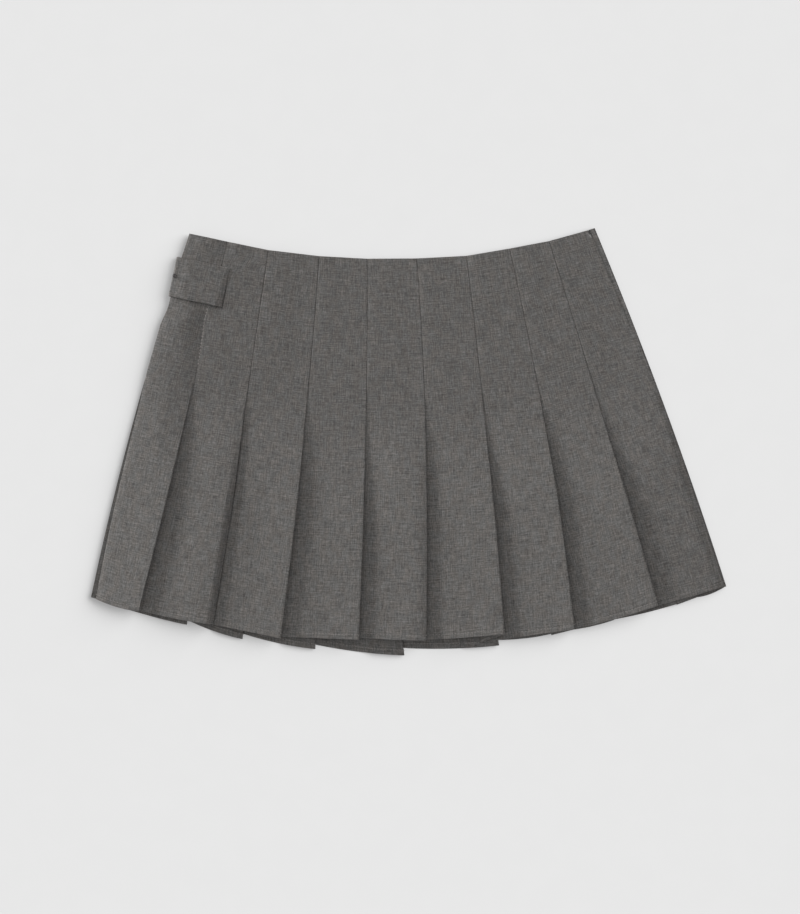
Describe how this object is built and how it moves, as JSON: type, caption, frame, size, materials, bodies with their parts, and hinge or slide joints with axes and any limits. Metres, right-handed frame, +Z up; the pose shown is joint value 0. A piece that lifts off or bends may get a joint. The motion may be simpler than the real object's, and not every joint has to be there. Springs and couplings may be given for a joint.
{
  "type": "pleated mini skirt",
  "caption": "Short knife-pleated skirt of grey suiting, laid flat with its front up, with a strap tab brought round the side at the waist.",
  "frame": {"origin": "middle of the skirt's outline in plan, on the surface that it lies on", "axes": "+Z up out of the surface, on the side of the skirt's front; +Y from the hem to the waist; +X to the right as the front is seen"},
  "size_m": [0.6015, 0.4044, 0.015],
  "materials": {
    "suiting": "matte melange wool-blend suiting in plain weave",
    "gunmetal": "dark gunmetal plating"
  },
  "bodies": {
    "root": {"skirt_front": "suiting", "skirt_back": "suiting", "waist_strap": "suiting", "strap_rivet": "gunmetal"}
  },
  "joints": []
}
